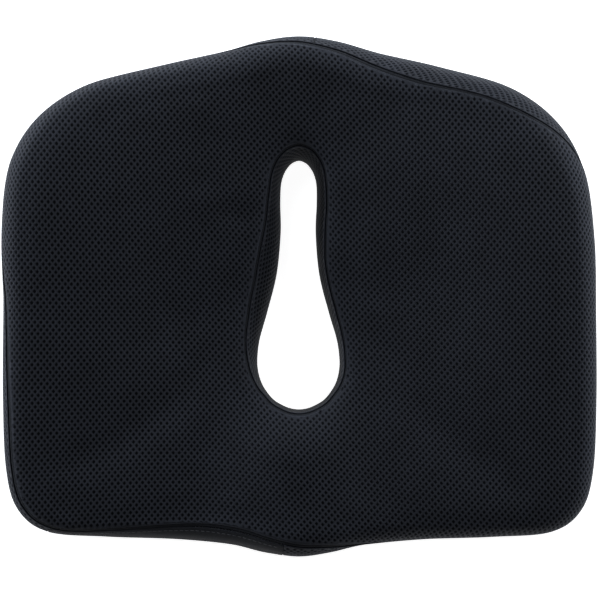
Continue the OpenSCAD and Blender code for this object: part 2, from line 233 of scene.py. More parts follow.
def spline(points, n):
    """n evenly spaced points along a smooth line through the control points."""
    step = np.linalg.norm(np.diff(points, axis=0), axis=1)
    if len(points) == 2:
        return mix(points[0], points[1], np.linspace(0, 1, n)[:, None])
    slope = np.diff(points, axis=0) / step[:, None]
    m = np.empty_like(points)
    m[1:-1] = ((slope[:-1] * step[1:, None] + slope[1:] * step[:-1, None])
               / (step[:-1] + step[1:])[:, None])
    m[0], m[-1] = 1.5 * slope[0] - 0.5 * m[1], 1.5 * slope[-1] - 0.5 * m[-2]
    t = (np.arange(10) / 10)[None, :, None]
    a, b, L = points[:-1, None], points[1:, None], step[:, None, None]
    fine = ((2 * t ** 3 - 3 * t ** 2 + 1) * a + (t ** 3 - 2 * t ** 2 + t) * L * m[:-1, None]
            + (3 * t ** 2 - 2 * t ** 3) * b + (t ** 3 - t ** 2) * L * m[1:, None])
    fine = np.concatenate([fine.reshape(-1, 2), points[-1:]])
    run = run_of(fine)
    return resample(np.linspace(0, run[-1], n), run, fine)


def splines(curves, n):
    return np.stack([spline(points, n) for points in curves])


def in_space(hole, outward, curve):
    """Points in space from each station's pairs of distance outward and height."""
    return np.concatenate([hole[:, None] + outward[:, None] * curve[..., :1], curve[..., 1:]], -1)


def normals(x, closed):
    if closed:
        ds = np.roll(x, -1, 0) - np.roll(x, 1, 0)
    else:
        ds = np.gradient(x, axis=0)
    return unit(np.cross(np.gradient(x, axis=1), ds))


# ---------------- swelling of the cover
SWELL_ROWS = {"wall": 7, "top": 26, "side": 11}
SWELL_M, SWELL_CAP, SWELL_FRAMES = 136, 4.5, 20
swell_field = {}


def swelling():
    """Cloth held at its seams and blown out by the foam; kept as a height over each panel."""
    s = np.arange(SWELL_M) * ROWS / SWELL_M
    hole, outward, parts = profile(s)
    rows = {**SWELL_ROWS, "base": 4}
    grid = np.concatenate([in_space(hole, outward, splines(parts[part], n))
                           for part, n in rows.items()], 1)
    out = normals(grid, True)
    n = grid.shape[1]
    free, place_of, first = np.zeros((SWELL_M, n)), {}, 0
    for part, count in rows.items():
        place_of[part] = slice(first, first + count)
        first += count
        if part != "base":
            t = np.linspace(0, 1, count)
            free[:, place_of[part]] = np.minimum(1, 4 * np.minimum(t, 1 - t))
    band = (s > JOIN_CORNER - 0.6) & (s < JOIN_FRONT + 0.4)
    free[band, place_of["side"]] *= 0.25
    mesh = bpy.data.meshes.new("swell")
    start = grid - out * (0.2 * free)[..., None]
    mesh.from_pydata((start.reshape(-1, 3) * MM).tolist(), [],
                   grid_faces(SWELL_M, n, True, True).tolist())
    ob = bpy.data.objects.new("swell", mesh)
    bpy.context.scene.collection.objects.link(ob)
    pin = ob.vertex_groups.new(name="pin")
    weights = 1 - free.reshape(-1)
    for k in np.flatnonzero(weights > 0.001):
        pin.add([int(k)], float(weights[k] ** 2), "REPLACE")
    cloth = ob.modifiers.new("cloth", "CLOTH")
    for key, value in {"quality": 6, "mass": 0.25, "tension_stiffness": 80,
                       "compression_stiffness": 80, "shear_stiffness": 40,
                       "bending_stiffness": 10, "use_pressure": True,
                       "uniform_pressure_force": 4.0, "vertex_group_mass": "pin",
                       "pin_stiffness": 1.0}.items():
        setattr(cloth.settings, key, value)
    cloth.settings.effector_weights.gravity = 0
    cloth.collision_settings.use_self_collision = False
    scene = bpy.context.scene
    for settings in (cloth.point_cache, scene):
        settings.frame_start, settings.frame_end = 1, SWELL_FRAMES
    for f in range(1, SWELL_FRAMES + 1):
        scene.frame_set(f)
    ev = ob.evaluated_get(bpy.context.evaluated_depsgraph_get())
    co = np.empty(len(mesh.vertices) * 3, np.float32)
    ev.data.vertices.foreach_get("co", co)
    moved = co.reshape(SWELL_M, n, 3).astype(float) / MM - grid
    height = SWELL_CAP * np.tanh((moved * out).sum(-1) / SWELL_CAP)
    for _ in range(2):
        height = (np.roll(height, 1, 0) + 2 * height + np.roll(height, -1, 0)) / 4
    for part in SWELL_ROWS:
        swell_field[part] = height[:, place_of[part]]
    scene.frame_set(1)
    bpy.data.objects.remove(ob)
    bpy.data.meshes.remove(mesh)


def swell(part, s, n, span):
    """Height of the swelling on a grid of stations s by n rows over part of a panel."""
    field = swell_field.get("side" if part.startswith("band") else part)
    if field is None:
        return np.zeros((len(s), n))
    at = (s % ROWS) * SWELL_M / ROWS
    i = np.floor(at).astype(int)
    f = (at - i)[:, None]
    row = mix(field[i % SWELL_M], field[(i + 1) % SWELL_M], f)
    t = np.linspace(span[0], span[1], n)
    own = np.linspace(0, 1, field.shape[1])
    return np.stack([np.interp(t, own, r) for r in row])


# The part of the side's height that each band covers
BAND_SPAN = {"band_upper": (0, 0.82), "band_lower": (0.9, 1)}


class Panel:
    """A panel's outer surface as stations by rows, from its first edge to its last."""

    def __init__(self, part, s, n, closed, extra=None):
        self.s, self.closed = s, closed
        self.hole, self.outward, parts = profile(s)
        self.w = splines(parts[part], n)
        x = in_space(self.hole, self.outward, self.w)
        lift = swell(part, s, n, BAND_SPAN.get(part, (0, 1)))
        if extra is not None:
            lift = lift + extra(x)
        self.x = x + normals(x, closed) * lift[..., None]
        self.n = normals(self.x, closed)
        self.arc = np.stack([run_of(line) for line in self.x])
        self.run = run_of(self.x[:, n // 2])

    def at(self, arcs):
        """Positions and normals at distances from the first edge; arcs is stations by k."""
        x, n = (np.stack([resample(a, arc, line) for a, arc, line in zip(arcs, self.arc, grid)])
                for grid in (self.x, self.n))
        return x, unit(n)

    def rows(self, first, last, n):
        """n rows from `first` mm inside the first edge to `last` mm inside the last edge."""
        t = np.linspace(0, 1, n)
        return first + (self.arc[:, -1:] - last - first) * t


# ---------------- making meshes
def make(name, verts, faces, material, uv=None, painted_shade=None, smooth_faces=True):
    """A mesh object from millimetres. uv is one pair per face corner."""
    me = bpy.data.meshes.new(name)
    verts = np.asarray(verts, float) * MM
    me.from_pydata(verts.tolist(), [], [tuple(f) for f in faces])
    if uv is not None:
        layer = me.uv_layers.new(name="OFBake")
        layer.data.foreach_set("uv", np.asarray(uv, np.float32).ravel())
    # painted_shade holds, per point, a darkening of the colour that stands in for shade
    if painted_shade is not None:
        attr = me.attributes.new("painted_shade", "FLOAT", "POINT")
        attr.data.foreach_set("value", np.asarray(painted_shade, np.float32))
    me.polygons.foreach_set("use_smooth", [smooth_faces] * len(me.polygons))
    me.materials.append(material)
    me.validate()
    me.update()
    ob = bpy.data.objects.new(name, me)
    bpy.context.scene.collection.objects.link(ob)
    return ob


def place(ob, body, slot, *nodes):
    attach(ob, body)
    if nodes:
        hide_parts(*nodes)
    return ob


def grid_faces(m, n, closed_m, closed_n=False, base=0, flip=False):
    i, j = np.meshgrid(np.arange(m if closed_m else m - 1),
                       np.arange(n if closed_n else n - 1), indexing="ij")
    i2, j2 = (i + 1) % m, (j + 1) % n
    q = np.stack([i * n + j, i * n + j2, i2 * n + j2, i2 * n + j], -1).reshape(-1, 4) + base
    return q[:, ::-1] if flip else q


def grid_uv(m, n, low, high):
    """Corner UVs for m by n faces of grid_faces, in a box of the unit square."""
    i, j = np.meshgrid(np.arange(m), np.arange(n), indexing="ij")
    u = np.stack([i, i, i + 1, i + 1], -1) / m
    v = np.stack([j, j + 1, j + 1, j], -1) / n
    return mix(np.array(low), np.array(high), np.stack([u, v], -1)).reshape(-1, 2)


def tube_faces(m, n, base=0, flip=False):
    """An open tube of m rings of n points, closed by a face at each end."""
    first = [base + k for k in range(n)]
    ends = [first[::-1], [base + (m - 1) * n + k for k in range(n)]]
    return (grid_faces(m, n, False, True, base, flip).tolist()
            + [end[::-1] if flip else end for end in ends])


def tube_uv(m, n):
    """Corner UVs for tube_faces, with the two ends beside the rest."""
    turn = np.arange(n) / n * 2 * math.pi
    ends = [np.stack([u + 0.05 * np.cos(turn), 0.93 + 0.05 * np.sin(turn)], -1)
            for u in (0.1, 0.3)]
    return np.concatenate([grid_uv(m - 1, n, (0.01, 0.01), (0.99, 0.85)), *ends])


def rims(grid, closed):
    """The border of a grid of stations by rows, as loops: two when it is closed, else one."""
    if closed:
        return [grid[:, 0], grid[:, -1]]
    return [np.concatenate([grid[:, 0], grid[-1, 1:], grid[-2::-1, -1], grid[0, -2:0:-1]])]


def loops_of(tris):
    """Closed boundary loops of a triangle list, longest first."""
    half = np.concatenate([tris[:, [0, 1]], tris[:, [1, 2]], tris[:, [2, 0]]])
    n = int(tris.max()) + 1
    key, back = half[:, 0] * n + half[:, 1], half[:, 1] * n + half[:, 0]
    open_edges = half[~np.isin(key, back)]
    after = {}
    for a, b in open_edges.tolist():
        after.setdefault(a, []).append(b)
    found = []
    while after:
        start = next(iter(after))
        loop, a = [], start
        while a in after:
            loop.append(a)
            b = after[a].pop()
            if not after[a]:
                del after[a]
            a = b
        found.append(loop)
    return sorted(found, key=len, reverse=True)


def winding(inner, ring):
    """For each point of a loop its nearest place on the ring, counted on without jumps."""
    near = np.array([int(np.argmin(((ring - p) ** 2).sum(1))) for p in inner])
    size = len(ring)
    step = (np.roll(near, -1) - near + size / 2) % size - size / 2
    return near[0] + np.concatenate([[0], np.cumsum(step)])


def zipper(a, b, at):
    """Triangles between loop a, with its faces on the left, and ring b, met at places `at`."""
    at = np.maximum.accumulate(at)
    na, nb, i, tris = len(a), len(b), 0, []
    j = first = int(at[0])
    while i < na or j < first + nb:
        if j >= first + nb or (i < na and at[i] + at[i + 1] <= 2 * j + 1):
            tris.append((a[(i + 1) % na], a[i % na], b[j % nb]))
            i += 1
        else:
            tris.append((a[i % na], b[j % nb], b[(j + 1) % nb]))
            j += 1
    return tris


# ---------------- spacer mesh
PITCH, REPEAT = 4.67, 5.55
HOLE_W, HOLE_H, HOLE_K = 1.45, 1.95, 0.6
CELL = np.array([[0, HOLE_H], [HOLE_W, HOLE_K], [HOLE_W, -HOLE_K], [0, -HOLE_H],
                 [-HOLE_W, -HOLE_K], [-HOLE_W, HOLE_K], [0, 0]])


# Triangles of one cell, each corner as (cells along, half-rows up, corner). In odd half-rows
# the cells stand half a pitch to the right, so the north-east neighbour of cell (i, j) is
# (i, j + 1) from an even row and (i + 1, j + 1) from an odd one.
CELL_TRIS = [((0, 0, 6), (0, 0, (k + 1) % 6), (0, 0, k)) for k in range(6)] + [
    ((0, 0, 0), (0, 0, 1), (0, 1, 3)), ((0, 0, 0), (0, 1, 3), (0, 1, 4)),
    ((0, 0, 0), (-1, 1, 2), (-1, 1, 3)), ((0, 0, 0), (-1, 1, 3), (0, 0, 5)),
    ((0, 0, 2), (0, -1, 0), (1, 0, 4)), ((0, 0, 2), (1, 0, 4), (0, 0, 1)),
    ((0, 0, 1), (1, 0, 4), (1, 0, 5)), ((0, 0, 1), (1, 0, 5), (0, 1, 3))]


def lattice_faces(ni, nj):
    """Triangles of a staggered lattice of oval holes. Vertex 7 * (j * ni + i) + corner."""
    j, i = (g.ravel() for g in np.meshgrid(np.arange(nj), np.arange(ni), indexing="ij"))

    def vertex(di, dj, corner):
        jj = j + dj
        ii = i + di + (dj % 2) * (j % 2)
        ok = (jj >= 0) & (jj < nj) & (ii >= 0) & (ii < ni)
        return np.where(ok, 7 * (jj * ni + ii) + corner, -1)

    tris = np.concatenate([np.stack([vertex(*c) for c in tri], -1) for tri in CELL_TRIS])
    return tris[(tris >= 0).all(1)]


def tilt_top(u, v_cells):
    """Rows of the top's mesh drop toward the front going right, more in the middle."""
    x = np.linspace(-300, 300, 601)
    slope = 0.165 * bell(x / 95) + 0.085 * smooth(x / 120)
    fan = 0.0004 * smooth(-x / 110) - 0.0003 * smooth(x / 110)
    a, b = np.cumsum(slope), np.cumsum(fan)
    a, b = a - a[300], b - b[300]
    return (v_cells - np.interp(u, x, a)) / (1 + np.interp(u, x, b))


def widened(grid, reach=0, axis=1):
    """The grid with one more row at both ends, `reach` beyond the last one."""
    g = np.moveaxis(grid, axis, 0)
    before, after = unit(g[:1] - g[1:2]) * reach, unit(g[-1:] - g[-2:-1]) * reach
    return np.moveaxis(np.concatenate([g[:1] + before, g, g[-1:] + after]), 0, axis)


def flat_field(panel, flat, arcs):
    """The panel laid out flat, with a ring beyond its border that folds back onto the border.

    Gives the triangles, then for each point its flat place, position, normal, distance from
    the panel's edges and 1 if it is on the ring.
    """
    edge = np.minimum(arcs - arcs[:, :1], arcs[:, -1:] - arcs)
    grids = [widened(flat(panel, arcs), 7), *(widened(g) for g in (*panel.at(arcs), edge))]
    if not panel.closed:
        grids = [widened(grids[0], 7, 0), *(widened(g, 0, 0) for g in grids[1:])]
    ring = np.ones(grids[0].shape[:2])
    ring[slice(None) if panel.closed else slice(1, -1), 1:-1] = 0
    quads = grid_faces(*ring.shape, panel.closed)
    tri = np.concatenate([quads[:, [0, 1, 2]], quads[:, [0, 2, 3]]])
    spot, pos, nor, edge = grids
    return (tri, spot.reshape(-1, 2), pos.reshape(-1, 3), nor.reshape(-1, 3), edge.ravel(),
            ring.ravel())


def lattice(field, turned, tilted):
    """The mesh's corners over a flat field, and its triangles."""
    c, sn = math.cos(math.radians(turned)), math.sin(math.radians(turned))
    turn = np.array([[c, -sn], [sn, c]])
    box = field @ turn
    lo, hi = box.min(0) - 12, box.max(0) + 12
    ni, nj = int((hi[0] - lo[0]) / PITCH) + 1, int((hi[1] - lo[1]) / REPEAT * 2) + 1
    jj, ii = np.meshgrid(np.arange(nj), np.arange(ni), indexing="ij")
    centre = np.stack([lo[0] + (ii + 0.5 * (jj % 2)) * PITCH, lo[1] + jj * REPEAT / 2], -1)
    corners = centre.reshape(-1, 1, 2) + CELL
    corners = corners + np.clip(rng.normal(0, 0.03, corners.shape), -0.07, 0.07)
    corners = corners.reshape(-1, 2)
    if tilted:
        corners[:, 1] = tilt_top(corners[:, 0], corners[:, 1])
    return corners @ turn.T, lattice_faces(ni, nj)


def triangle_at(field, tri, points):
    """The flat triangle that holds each point, or -1."""
    tree = BVHTree.FromPolygons(np.c_[field, 0 * field[:, 0]].tolist(), tri.tolist(),
                                all_triangles=True)
    hit = np.full(len(points), -1)
    near = np.flatnonzero((points > field.min(0) - 1).all(1) & (points < field.max(0) + 1).all(1))
    down = Vector((0, 0, -1))
    for k, (u, v) in zip(near.tolist(), points[near].tolist()):
        # A ray can slip between two triangles, so it is tried again just beside
        for aside in (0, 0.003, -0.004):
            index = tree.ray_cast(Vector((u + aside, v + aside, 1)), down)[2]
            if index is not None:
                hit[k] = index
                break
    return hit


def shares(a, b, d, p):
    """How much of each corner a, b and d of a flat triangle makes up the point p."""
    def cross(u, v):
        return u[:, 0] * v[:, 1] - u[:, 1] * v[:, 0]

    area = cross(b - a, d - a)
    wb, wd = cross(p - a, d - a) / area, cross(b - a, p - a) / area
    return np.clip(np.stack([1 - wb - wd, wb, wd], -1), 0, 1)[..., None]


HOLE_DEEP, WEB_SINK, FADE = 1.1, 0.12, 2.0
# Rings from the mesh's border over the lip, down into the seam and on to the back: the share
# of the lip's width that is left, and the depth.
LIP_RINGS = [(1.02, 0.05), (0.75, -0.12), (0.4, -0.08), (0.12, 0.25), (0.0, 0.8), (0.03, 1.7)]


def mesh_panel(name, panel, flat, first, last, turned, tilted, rows):
    """A closed panel of spacer mesh: a lattice of real holes in front, a plain knit behind.

    flat(panel, arcs) gives flat coordinates; first and last are the widths of the plain
    lips along the two edges.
    """
    closed = panel.closed
    arcs = panel.rows(first, last, rows)
    tri, field, field_pos, field_nor, edge, ring = flat_field(panel, flat, arcs)
    corners, tris = lattice(field, turned, tilted)
    hit = triangle_at(field, tri, corners)
    ok = hit >= 0
    holder = tri[np.where(ok, hit, 0)]
    share = shares(*(field[holder[:, k]] for k in range(3)), corners)
    pos, nor = (field_pos[holder] * share).sum(1), unit((field_nor[holder] * share).sum(1))
    live = smooth((edge[holder] * share[..., 0]).sum(1) / FADE)
    outside = (ring[holder] * share[..., 0]).sum(1) > 1e-6
    tris = tris[ok[tris].all(1)]
    tris = tris[~outside[tris].all(1)]
    bottom = np.tile(np.arange(7), len(corners) // 7) == 6
    sink = np.where(outside, 0, np.where(bottom, HOLE_DEEP, WEB_SINK) * live)
    pos = pos - nor * sink[:, None]
    used, tris = np.unique(tris, return_inverse=True)
    tris = tris.reshape(-1, 3)
    # painted_shade is 1 on the web and falls to 0 at each hole's bottom: painted shade that
    # darkens the holes
    pos, nor, front_flat, painted_shade = pos[used], nor[used], corners[used], (1 - bottom * live)[used]
    # Faces of a turned or mirrored flat system still look outward
    q = pos[tris]
    facing = (np.cross(q[:, 1] - q[:, 0], q[:, 2] - q[:, 0]) * nor[tris[:, 0]]).sum(1)
    if np.sum(facing > 0) < len(tris) / 2:
        tris = tris[:, ::-1]

    back_rows = 10 if closed else 7

    def layer(inset, depth):
        p, q = panel.at(panel.rows(inset * first, inset * last, back_rows))
        return p - q * depth

    def flat_rims(start, end):
        return rims(flat(panel, panel.rows(start, end, back_rows)), closed)

    m, nf = len(panel.s), len(pos)
    back = layer(0.15, MESH_T - 0.2).reshape(-1, 3)
    back_flat = flat(panel, panel.rows(0.15 * first, 0.15 * last, back_rows)).reshape(-1, 2)
    back_faces = grid_faces(m, back_rows, closed, base=nf, flip=True).tolist()
    verts, faces, in_front = [pos, back], tris.tolist() + back_faces, [True] * len(tris)
    in_front += [False] * len(back_faces)
    flat_f, flat_b, painted_shades = [front_flat, back_flat], [0 * front_flat, back_flat], [painted_shade]
    painted_shades.append(np.ones(len(back)))
    count = nf + len(back)
    rings = [rims(layer(*step), closed) for step in LIP_RINGS]
    ends = rims(np.arange(m * back_rows).reshape(m, back_rows), closed)
    found = loops_of(tris)[:len(ends)]
    for k, (end, met_flat, inner) in enumerate(zip(ends, flat_rims(first, last),
                                                   flat_rims(first + 4, last + 4))):
        lip = [r[k] for r in rings]
        size = len(end)
        # Match the ring with the nearest long lattice loop, and run the same way
        loop = min(found, key=lambda lp: abs(run_of(pos[lp])[-1] - run_of(lip[0])[-1]))
        order = np.arange(size)
        met = winding(front_flat[loop], met_flat)
        if met[-1] < met[0]:
            order = order[::-1]
            met = winding(front_flat[loop], met_flat[order])
        rim_flat = back_flat[end]
        along = unit(rim_flat - np.roll(rim_flat, 1, 0))
        outward = np.stack([along[:, 1], -along[:, 0]], -1)
        outward = outward * np.sign(((rim_flat - inner) * outward).sum(1, keepdims=True))
        ids = [np.arange(size) + count + r * size for r in range(len(lip))] + [nf + end[order]]
        for r, line in enumerate(lip):
            verts.append(line[order])
            flat_b.append((rim_flat + outward * 1.3 * (len(lip) - r))[order])
            flat_f.append(met_flat[order])
            # The rings down into the seam and on to the back get painted shade (0.35); the rings
            # over the lip stay near full colour (0.95)
            painted_shades.append(np.full(size, 0.95 if r < 4 else 0.35))
        count += size * len(lip)
        web = zipper(loop, ids[0].tolist(), met)
        walls = [q for a, b in zip(ids[:-1], ids[1:])
                 for q in np.stack([np.roll(a, -1), a, b, np.roll(b, -1)], -1).tolist()]
        faces += web + walls
        in_front += [True] * len(web) + [False] * len(walls)
    low, wide = field.min(0), np.ptp(field, axis=0)
    front_uv = (np.concatenate(flat_f) - low) / wide * [1, 0.74]
    back_uv = [0, 0.78] + (np.concatenate(flat_b) - low + 8) / (wide + 16) * [1, 0.2]
    uv = [(front_uv if front else back_uv)[c] for front, face in zip(in_front, faces)
          for c in face]
    return make(name, np.concatenate(verts), faces, MESH, uv=uv, painted_shade=np.concatenate(painted_shades))


def flat_plan(panel, arcs):
    """Plan position, with what the panel curls down over the edges laid out flat."""
    mid = panel.x.shape[1] // 2
    w = panel.w[:, mid:mid + 1, 0] + arcs - panel.arc[:, mid:mid + 1]
    return panel.hole[:, None] + panel.outward[:, None] * w[..., None]


def flat_strip(panel, arcs):
    """Length along the strip, and height measured up from its lower edge."""
    up = panel.arc[:, -1:] - arcs
    return np.stack([panel.run[:, None] + 0 * arcs, up], -1)


def flat_wall(panel, arcs):
    return np.stack([-panel.run[:, None] + 0 * arcs, arcs], -1)


# ---------------- materials
def feed(nt, socket, value):
    """Set an input to a value, or link it to another node's output."""
    if isinstance(value, bpy.types.NodeSocket):
        nt.links.new(value, socket)
    else:
        socket.default_value = value


def node(nt, kind, settings=(), **inputs):
    n = nt.nodes.new("ShaderNode" + kind)
    for key, value in settings:
        setattr(n, key, value)
    for key, value in inputs.items():
        feed(nt, n.inputs[key.replace("_", " ")], value)
    return n


def ranged(nt, value, low, high, from_low=0.0, from_high=1.0, how="LINEAR"):
    """A value mapped onto the range low to high."""
    return node(nt, "MapRange", [("interpolation_type", how)], Value=value, To_Min=low,
                To_Max=high, From_Min=from_low, From_Max=from_high).outputs["Result"]


def times(nt, a, b):
    n = node(nt, "Math", [("operation", "MULTIPLY")])
    feed(nt, n.inputs[0], a)
    feed(nt, n.inputs[1], b)
    return n.outputs[0]


def material(name, color, rough, pattern=(), variation=0.12, variation_scale=30, sheen=0.0,
             metallic=0.0, specular=0.5, painted_shade=False, sheen_tint=(1, 1, 1)):
    """Principled material. pattern is a list of (kind, scale, strength, distance) bumps."""
    m = bpy.data.materials.new(name)
    m.use_nodes = True
    nt = m.node_tree
    at = node(nt, "TexCoord").outputs["Object"]
    noise = node(nt, "TexNoise", Vector=at, Scale=variation_scale, Detail=4.0,
                 Roughness=0.6).outputs["Fac"]
    tone = ranged(nt, noise, 1 - variation, 1 + variation, 0.3, 0.7)
    # The painted_shade point attribute darkens the colour and the specular: painted shade in the
    # holes and in the seams
    if painted_shade:
        painted_shade_mark = node(nt, "Attribute", [("attribute_name", "painted_shade")]).outputs["Fac"]
        lit = ranged(nt, painted_shade_mark, 0.25, 1.0, 0.5, 1.0, "SMOOTHSTEP")
        tone, specular = times(nt, tone, lit), times(nt, lit, specular)
    tint = node(nt, "VectorMath", [("operation", "SCALE")], Vector=color, Scale=tone)
    values = {"Base Color": tint.outputs["Vector"], "Metallic": metallic,
              "Roughness": ranged(nt, noise, max(rough - 0.08, 0.05), min(rough + 0.08, 1)),
              "Specular IOR Level": specular, "Sheen Weight": sheen, "Sheen Roughness": 0.45,
              "Sheen Tint": (*sheen_tint, 1)}
    for kind, size, strength, distance in pattern:
        if kind == "noise":
            height = node(nt, "TexNoise", Vector=at, Scale=size, Detail=3.0).outputs["Fac"]
        elif kind == "cells":
            height = node(nt, "TexVoronoi", Vector=at, Scale=size).outputs["Distance"]
        else:
            height = node(nt, "TexWave", [("bands_direction", kind)], Vector=at, Scale=size,
                          Distortion=0.6, Detail=1.0).outputs["Fac"]
        below = {"Normal": values["Normal"]} if "Normal" in values else {}
        values["Normal"] = node(nt, "Bump", Strength=strength, Distance=distance, Height=height,
                                **below).outputs["Normal"]
    for key, value in values.items():
        feed(nt, nt.nodes["Principled BSDF"].inputs[key], value)
    return m


COOL = (0.80, 0.88, 1.0)
KNIT = [("noise", 1500, 0.12, 0.0002), ("DIAGONAL", 900, 0.15, 0.0001)]
WEAVE = [("X", 420, 0.5, 0.0003), ("Z", 420, 0.5, 0.0003), ("noise", 700, 0.2, 0.0003)]
# The spacer mesh takes painted shade in its holes and seams from its painted_shade attribute
MESH = material("spacer_mesh", (0.0153, 0.0172, 0.0236), 0.78, KNIT, 0.16, 45, sheen=0.03,
                specular=0.2, painted_shade=True, sheen_tint=COOL)
BAND = material("band_weave", (0.008, 0.009, 0.012), 0.75, WEAVE, 0.12, 60, sheen=0.02,
                specular=0.15, sheen_tint=COOL)
SEAM = material("seam_binding", (0.008, 0.009, 0.012), 0.75,
                [("noise", 1200, 0.4, 0.0003)], 0.15, 90, sheen=0.02, specular=0.15,
                sheen_tint=COOL)
THREAD = material("thread", (0.035, 0.037, 0.044), 0.6, [("noise", 2500, 0.4, 0.0002)], 0.1, 200)
BASE = material("base_fabric", (0.028, 0.029, 0.032), 0.85,
                [("X", 300, 0.4, 0.0003), ("Y", 300, 0.4, 0.0003)], 0.15, 40, sheen=0.05)
GRIP = material("grip_dots", (0.045, 0.046, 0.05), 0.55, [("noise", 600, 0.15, 0.0003)], 0.1, 80)
FOAM = material("foam", (0.80, 0.76, 0.66), 0.9, [("cells", 700, 0.6, 0.0006)], 0.06, 60)
LINER = material("liner_knit", (0.86, 0.86, 0.84), 0.9,
                 [("X", 380, 0.5, 0.0003), ("noise", 900, 0.3, 0.0002)], 0.05, 60)
TAPE = material("zip_tape", (0.012, 0.012, 0.014), 0.8,
                [("X", 500, 0.6, 0.0002), ("Z", 500, 0.4, 0.0002)], 0.1, 90)
COIL = material("zip_coil", (0.012, 0.012, 0.013), 0.35, [("noise", 900, 0.1, 0.0001)], 0.08,
                300, specular=0.5)
METAL = material("zip_metal", (0.035, 0.035, 0.038), 0.38, [("noise", 1500, 0.12, 0.0001)],
                 0.12, 400, metallic=0.6, specular=0.5)
PULL = material("pull_metal", (0.035, 0.035, 0.038), 0.33, [("noise", 1500, 0.12, 0.0001)],
                0.12, 400, metallic=0.6, specular=0.5)
LABEL = material("label_cloth", (0.85, 0.85, 0.83), 0.5,
                 [("X", 700, 0.3, 0.0001), ("Y", 700, 0.3, 0.0001)], 0.03, 100, sheen=0.1)

# ---------------- panels of the cover
swelling()


def band_folds(x):
    """Two curved folds at the right end of the plain bands."""
    u, z = x[..., 0], x[..., 2]
    fold = bell((u + 34) / 12)
    return 0.9 * fold * (bell((z - 33 - 0.1 * (u + 34)) / 3) - bell((z - 27) / 3)
                         + 0.7 * bell((z - 43) / 4))


s_all = np.arange(510) * ROWS / 510
top = Panel("top", s_all, 90, True)
right = Panel("side", np.linspace(JOIN_FRONT - ROWS + 0.018, JOIN_REAR - 0.018, 260), 40, False)
left = Panel("side", np.linspace(JOIN_REAR + 0.018, JOIN_CORNER - 0.018, 200), 40, False)
wall = Panel("wall", np.linspace(WALL_JOIN - ROWS + 0.004, WALL_JOIN - 0.004, 300), 40, False)
side_all = Panel("side", s_all, 40, True)
wall_all = Panel("wall", s_all, 40, True)
base_all = Panel("base", s_all, 8, True)

# Name, panel, its flat layout, widths of its plain lips, turn of the mesh in degrees, whether
# its rows tilt, rows across, CAD node, then the flat cut in metres and its area.
for (name, panel, flat, first, last, turned, tilted, rows, cad_node, cut, cut_area) in (
        ("cover_top", top, flat_plan, 1.2, 1.4, 0, True, 70, "top_panel", (0.48, 0.42), 0.150),
        ("gusset_right", right, flat_strip, 0.5, 1.2, 90, False, 24, "right_gusset",
         (0.74, 0.09), 0.040),
        ("gusset_left", left, flat_strip, 0.5, 1.2, 90, False, 24, "left_gusset",
         (0.52, 0.09), 0.031),
        ("opening_wall", wall, flat_wall, 1.2, 0.8, 62, False, 24, "hole_wall",
         (0.44, 0.075), 0.025)):
    ob = mesh_panel(name, panel, flat, first, last, turned, tilted, rows)
    place(ob, "cushion", "spacer_mesh", cad_node)


def plain_cloth(name, panel, last, rows):
    """A closed sheet of plain cloth with rounded borders, 0.2 and `last` mm short of its edges."""
    front = panel.rows(1.6 + 0.2, 1.6 + last, rows)
    start, end = 0.2 + 0 * panel.arc[:, -1:], panel.arc[:, -1:] - last
    arcs = [start + 0.1, start + 0.7, front, end - 0.7, end - 0.1, end - 0.1, front[:, ::-1],
            start + 0.1]
    depth = [0.45, 0.12, *[0] * rows, 0.12, 0.45, BAND_T - 0.35, *[BAND_T] * rows, BAND_T - 0.35]
    p, q = panel.at(np.concatenate(arcs, 1))
    x = p - q * np.array(depth)[:, None]
    m, n = x.shape[:2]
    return make(name, x.reshape(-1, 3), tube_faces(m, n), BAND, uv=tube_uv(m, n))


band_s = np.linspace(JOIN_CORNER + 0.018, JOIN_FRONT - 0.018, 160)
upper = Panel("band_upper", band_s, 40, False, band_folds)
lower = Panel("band_lower", band_s, 14, False)
for name, panel, last, rows, cad_node, cut, cut_area in (
        ("band_upper", upper, 0.2, 24, "zip_band_upper", (0.21, 0.05), 0.0062),
        ("band_lower", lower, 0.1, 6, "zip_band_lower", (0.21, 0.01), 0.0012)):
    ob = place(plain_cloth(name, panel, last, rows), "cushion", "band_weave", cad_node)

# Base fabric, from its outer edge to the opening, with its underside a little above z = 0
DOT_H = 0.5
u = np.linspace(0, 1, 26)
outer, inner = base_all.x[:, 0], base_all.x[:, -1]
under = mix(outer[:, None], inner[:, None], u[None, :, None])
under[..., 2] = DOT_H + 1.2 * (bell(u * 60) + bell((1 - u) * 40))
upper_face = under[:, ::-1].copy()
upper_face[..., 2] = BASE_T + 0.4
both = np.concatenate([under, upper_face], 1)
m, n = both.shape[:2]
base = make("base_panel_cloth", both.reshape(-1, 3), grid_faces(m, n, True, True), BASE,
            uv=grid_uv(m, n, (0.01, 0.01), (0.99, 0.99)))
place(base, "cushion", "base_fabric", "base_panel")


# ---------------- seams and stitches
def tube(path, normal, radii, sides, closed, squash=1.0):
    """A tube along path, its section flattened toward the surface normal."""
    if closed:
        d = unit(np.roll(path, -1, 0) - np.roll(path, 1, 0))
    else:
        d = unit(np.gradient(path, axis=0))
    normal = unit(normal - (normal * d).sum(1, keepdims=True) * d)
    side = np.cross(normal, d)
    a = np.arange(sides) / sides * 2 * math.pi
    r = np.asarray(radii).reshape(-1, 1, 1)
    return (path[:, None] + r * (side[:, None] * np.cos(a)[None, :, None]
                                 + normal[:, None] * np.sin(a)[None, :, None] * squash))


